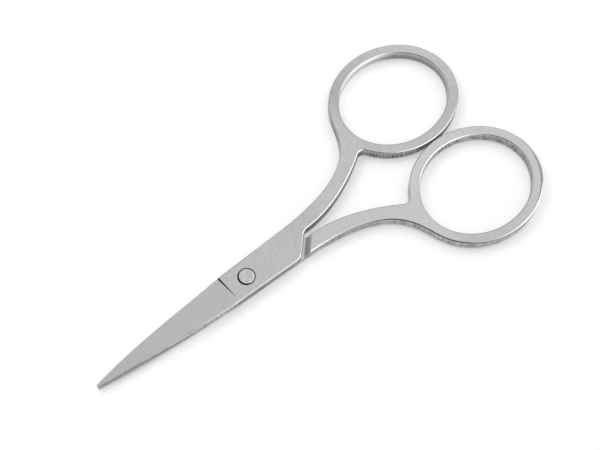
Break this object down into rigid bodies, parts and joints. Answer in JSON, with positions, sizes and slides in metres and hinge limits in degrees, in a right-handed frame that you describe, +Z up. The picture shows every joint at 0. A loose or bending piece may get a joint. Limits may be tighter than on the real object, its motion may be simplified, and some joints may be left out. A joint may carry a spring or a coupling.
{
  "type": "scissors",
  "caption": "Small all-steel grooming scissors: two stamped halves lapped at a flush rivet, with slim straight blades and round finger rings.",
  "frame": {"origin": "on the pivot axis, in the plane of the lower faces, which is the plane of the table", "axes": "+X from the blade tips to the finger rings, along the closed scissors; +Y across them, towards the front half's finger ring; +Z up along the pivot axis, through the front half's outer face"},
  "size_m": [0.0955, 0.0496, 0.0024],
  "materials": {
    "back_half_steel": "bare stainless steel, finely brushed along its length",
    "front_half_steel": "bare stainless steel, finely brushed along its length",
    "rivet_steel": "bare stainless steel, ground flush with the halves"
  },
  "bodies": {
    "back": {"back_half": "back_half_steel", "pivot_rivet": "rivet_steel"},
    "front": {"front_half": "front_half_steel"}
  },
  "joints": [
    {"name": "blade_pivot", "type": "hinge", "parent": "back", "child": "front", "pos_m": [0, 0, 0], "axis": [0, 0, 1], "range_deg": [0, 140]}
  ]
}
